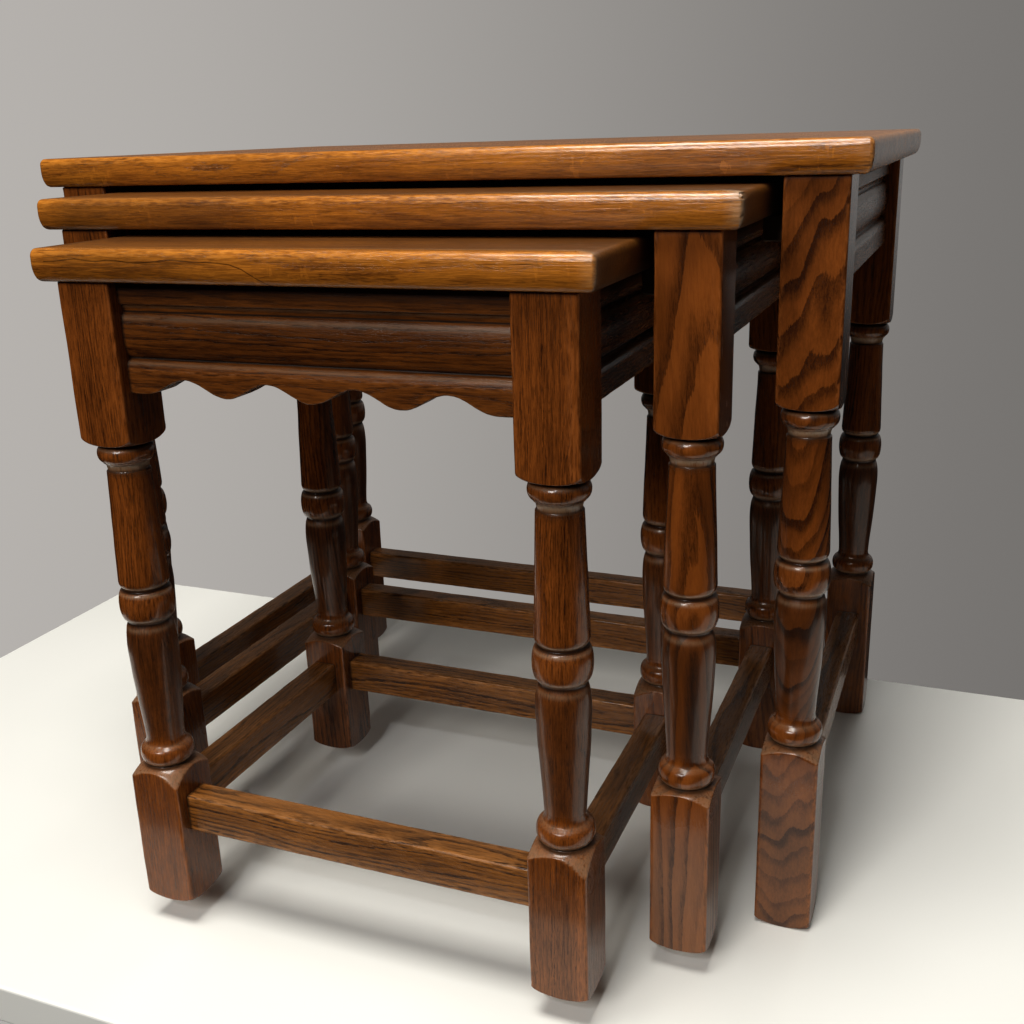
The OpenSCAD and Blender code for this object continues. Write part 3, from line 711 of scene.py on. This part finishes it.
def make_top(node, boards, chipped, paler, seed):
    """boards is how many boards it is glued up from, chipped how broken its front right corner
    is, and paler how much paler it is than the rest."""
    low, high = (np.array(corner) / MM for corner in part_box(node))
    half = (high - low) / 2
    centre = (high + low) / 2
    thick = high[2] - low[2]
    draw = random.Random(seed)
    cuts = np.linspace(-half[1], half[1], boards + 1)
    cuts[1:-1] += [draw.uniform(-14, 14) for _ in range(boards - 1)]
    woods = []
    for k in range(boards):
        pith = (draw.uniform(-70, 70), draw.choice((-1, 1)) * draw.uniform(24, 75))
        woods.append(Wood("x", pith, draw.uniform(0.50, 0.72) + paler, start=draw.uniform(0, 4000)))
    inner = half[:2] - 11.5
    # Painted shade: how much it darkens the left part of each top, and how much its end faces.
    shade = {"large_top": 0.10, "middle_top": 0.42, "small_top": 0.27}[node]
    painted_end_shade = 0.1 if node == "large_top" else 0.75
    stops_x = list(np.linspace(-inner[0], inner[0], int(half[0] / 4)))
    stops_y = sorted(set(np.linspace(-inner[1], inner[1], int(half[1] / 4))) | set(cuts[1:-1]))
    points, wear, soil_and_shade, dust_and_sheen, split = [], [], [], [], []
    for inset, up, rub, dirt in top_edge(thick):
        corner = max(3.2 - inset, 0.8)
        x_stops = [np.clip(x, -half[0] + inset + 3.4, half[0] - inset - 3.4) for x in stops_x]
        loop = np.array(loop_round(half[0] - inset, half[1] - inset, corner, x_stops, stops_y))
        walk = np.cumsum(np.r_[0, np.hypot(*np.diff(loop, axis=0).T)])
        sag = (0.14 + 0.13 * wobble(walk, seed, 26) + 0.08 * wobble(walk, seed + 5, 6)) * rub
        outward = np.sign(loop) * (np.abs(loop) > (half[:2] - inset - 3.3))
        loop = loop - outward * np.clip(sag, 0, 0.4)[:, None]
        fallen = sag.clip(0, 0.4) * 0.6 if up > thick / 2 else 0
        points.append(np.column_stack([loop, np.full(len(loop), up) - fallen]))
        x, y = loop.T
        corner_rub = np.exp(-(np.hypot(x - half[0] + inset, y + half[1] - inset) / 4.5) ** 2)
        ragged = np.clip(wobble(up + 1.5 * x - y, seed + 21, 1.3), 0, 0.8)
        notch = chipped * corner_rub * ragged * (3 < up < thick)
        points[-1][:, 0] -= notch
        points[-1][:, 1] += notch
        wear.append(np.maximum(rub, corner_rub * (up > 1)))
        dust_and_sheen.append(0.7 * chipped * corner_rub ** 2 * (up > 3))
        # Painted shade on the end faces, heavy on the middle and small tops and light on the large
        # one.
        ends = smooth((np.abs(x) - half[0] + inset + 1.5) / 1.5)
        # Painted shade that darkens the left part of the top, most on the middle table.
        painted_left_shade = shade * smooth((-x - 20) / 90) * smooth((x + half[0]) / 30)
        soil_and_shade.append(np.maximum.reduce([np.full(len(x), dirt), painted_end_shade * ends, painted_left_shade]))
        line = up - thick * 0.66 - 1.3 * wobble(x, seed + 9, 30) + 16 * smooth((x + 40) / 40)
        cracked = (node == "small_top") * (y < 0) * (np.abs(x) < half[0] - 6) * (up < thick - 1)
        split.append(np.where(cracked, line, NO_CRACK))
    columns = len(points[0])
    rows = len(points)
    points = (np.vstack(points) + [centre[0], centre[1], low[2]]) * MM
    faces = loft_faces(rows, columns)
    for start, flip in ((0, True), ((rows - 1) * columns, False)):
        ring = np.arange(start, start + columns)
        y = points[ring, 1] / MM - centre[1]
        edges = [-np.inf, *cuts[1:-1], np.inf]
        for from_y, to_y in zip(edges, edges[1:]):
            inside = ring[(y >= from_y - NEAR) & (y <= to_y + NEAR)]
            face = tuple(int(i) for i in inside)
            faces.append(tuple(reversed(face)) if flip else face)

    def board_at(point):
        y = point[1] / MM - centre[1]
        return woods[int(np.clip(np.searchsorted(cuts, y) - 1, 0, boards - 1))]

    marks = {"wear": wear, "soil_and_shade": soil_and_shade, "dust_and_sheen": dust_and_sheen, "split": split}
    marks = {name: np.concatenate(values) for name, values in marks.items()}
    make_piece(node, points, faces, board_at, marks, TOP_OAK)


# ---- the three tables ----

def make_table(table, draw):
    """Makes every piece of a table and paints the CAD nodes of it that stay."""
    chipped, paler = {"large": (0.5, 0.08), "middle": (1.6, 0.05), "small": (0.7, -0.04)}[table]
    make_top(f"{table}_top", 4 if table == "large" else 3, chipped, paler, draw.randrange(10 ** 6))
    for end in ("front", "rear"):
        for side in ("left", "right"):
            angle = draw.uniform(0, 2 * math.pi)
            far = draw.uniform(28, 80)
            pith = (far * math.cos(angle), far * math.sin(angle))
            wood = Wood("z", pith, draw.uniform(0.45, 0.7),
                        lean=(draw.uniform(-3, 3), draw.uniform(-3, 3)),
                        start=draw.uniform(0, 4000))
            looks = LEG_LOOKS.get(f"{table}_{end}_{side}", (wood, draw.uniform(4, 8), 0, 0.4, 0))
            make_leg(f"{table}_leg_{end}_{side}", *looks, draw.randrange(10 ** 6))
    for side in ("left", "right", "rear", "front"):
        if side == "front" and table != "small":
            continue
        along = "x" if side in ("front", "rear") else "y"
        for kind in ("apron", "stretcher"):
            pith = (draw.uniform(-60, 60), draw.choice((-1, 1)) * draw.uniform(30, 80))
            wood = Wood(along, pith, draw.uniform(0.45, 0.7), start=draw.uniform(0, 4000))
            node = f"{table}_{kind}_{side}"
            seed = draw.randrange(10 ** 6)
            if kind == "apron":
                make_apron(node, side, wood, seed, scalloped=side == "front")
            else:
                make_stretcher(node, side, wood, seed)
    for node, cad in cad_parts.items():
        if node.startswith(table) and "runner" in node:
            paint(cad, RUNNER_OAK)
        if node.startswith(table) and ("brackets" in node or "screws" in node):
            paint(cad, STEEL)


def paint(cad, material):
    """Gives every material slot of a CAD node the material."""
    for slot in cad.material_slots:
        slot.material = material


# The legs that show most: how each was cut, then make_leg's drop, dip, fading and scuffed. The
# small table's are straight and finely grained, the middle one's has a large flame and the
# large one's bold bands.
LEG_LOOKS = {
    "small_front_left": (Wood("z", (-60, 24), 0.66, (1.2, 2.0), 900, 2.0), 7.0, 4.0, 0.1, 0.3),
    "small_front_right": (Wood("z", (70, 10), 0.65, (0.6, 0.3), 300, 1.6), 6.0, 6.0, 0.7, 0.9),
    "middle_front_right": (Wood("z", (-24, 60), 0.68, (-3, -5), 1500, 7.5), 3.5, 1.5, 1.0, 0.3),
    "large_front_right": (Wood("z", (14, 112), 0.45, (0, 18.8), 2100, 6.4, 0.000225),
                          5.0, 1.0, 0.9, 0),
}

for place, table in enumerate(TABLES):
    make_table(table, random.Random(41 + place))


# ---- floor and light ----

def make_floor():
    """A pale satin slab under the nest."""
    low, high = Vector((-0.62, -0.352, -0.03)), Vector((0.95, 0.30, 0.0))
    mesh = bpy.data.meshes.new("floor")
    corners = [(x, y, z) for z in (low.z, high.z) for x, y in
               ((low.x, low.y), (high.x, low.y), (high.x, high.y), (low.x, high.y))]
    sides = [(3, 2, 1, 0), (4, 5, 6, 7), (0, 1, 5, 4), (1, 2, 6, 5), (2, 3, 7, 6), (3, 0, 4, 7)]
    mesh.from_pydata(corners, [], sides)
    floor = bpy.data.objects.new("floor", mesh)
    bpy.context.collection.objects.link(floor)
    soft = floor.modifiers.new("eased edge", "BEVEL")
    soft.width = 0.002
    soft.segments = 3
    t = Tree("floor")
    place = t.vector("MULTIPLY", t.node("TexCoord").outputs["Object"], (1 / MM,) * 3)
    cloud = t.noise(place, (260, 260, 260), 2).outputs["Fac"]
    colour = t.mix(cloud, rgb(0.78, 0.78, 0.735), rgb(0.83, 0.83, 0.79))
    t.link(colour, t.shader.inputs["Base Color"])
    t.shader.inputs["Roughness"].default_value = 0.38
    mesh.materials.append(t.material)


def area_light(name, at, aim, size, power, colour):
    lamp = bpy.data.lights.new(name, "AREA")
    lamp.shape = "RECTANGLE"
    lamp.size, lamp.size_y = size
    lamp.energy = power
    lamp.color = colour
    made = bpy.data.objects.new(name, lamp)
    made.location = at
    made.rotation_euler = (Vector(aim) - Vector(at)).to_track_quat("-Z", "Y").to_euler()
    bpy.context.collection.objects.link(made)
    return made


def make_world():
    """Grey surroundings, paler on the left. Only the camera sees them as bright as a wall."""
    world = bpy.data.worlds.new("room")
    bpy.context.scene.world = world
    world.use_nodes = True
    nodes, links = world.node_tree.nodes, world.node_tree.links
    coordinates = nodes.new("ShaderNodeTexCoord")
    parts = nodes.new("ShaderNodeSeparateXYZ")
    links.new(coordinates.outputs["Generated"], parts.inputs[0])

    def ramp(axis, span, values):
        made = nodes.new("ShaderNodeMapRange")
        made.interpolation_type = "SMOOTHSTEP"
        for name, value in zip(("From Min", "From Max", "To Min", "To Max"), (*span, *values)):
            made.inputs[name].default_value = value
        links.new(parts.outputs[axis], made.inputs["Value"])
        return made.outputs[0]

    lighting = nodes["Background"]
    lighting.inputs["Color"].default_value = (1.0, 0.98, 0.95, 1)
    above = nodes.new("ShaderNodeMath")
    above.operation = "MULTIPLY"
    links.new(ramp("Y", (-0.1, 0.95), (0.03, 0.25)), above.inputs[0])
    links.new(ramp("Z", (-0.20, -0.03), (0.08, 1.0)), above.inputs[1])
    aside = nodes.new("ShaderNodeMath")
    aside.operation = "MULTIPLY"
    links.new(above.outputs[0], aside.inputs[0])
    links.new(ramp("X", (-0.35, 0.1), (0.5, 1.0)), aside.inputs[1])
    links.new(aside.outputs[0], lighting.inputs["Strength"])
    seen = nodes.new("ShaderNodeBackground")
    seen.inputs["Color"].default_value = (1.0, 0.955, 0.91, 1)
    links.new(ramp("X", (-0.85, 0.12), (0.43, 0.175)), seen.inputs["Strength"])
    path = nodes.new("ShaderNodeLightPath")
    choose = nodes.new("ShaderNodeMixShader")
    links.new(path.outputs["Is Camera Ray"], choose.inputs[0])
    links.new(lighting.outputs[0], choose.inputs[1])
    links.new(seen.outputs[0], choose.inputs[2])
    links.new(choose.outputs[0], nodes["World Output"].inputs["Surface"])


make_floor()
make_world()
area_light("overhead", (-0.10, -0.6, 2.3), (0, 0, 0.3), (1.0, 0.8), 44, (1.0, 0.97, 0.92))
area_light("window", (-0.35, -2.6, 1.7), (0, 0, 0.3), (0.9, 0.7), 38, (1.0, 0.97, 0.93))
back = area_light("back", (0.3, 2.3, 1.2), (0, 0, 0.35), (1.0, 0.6), 9, (1.0, 0.98, 0.95))
back.visible_glossy = False
area_light("lamp", (0.25, -2.4, 2.3), (0.1, -0.2, 0.3), (0.2, 0.14), 12, (0.95, 0.96, 1.0))

scene = bpy.context.scene
scene.view_settings.view_transform = "Standard"
scene.view_settings.look = "Medium High Contrast"
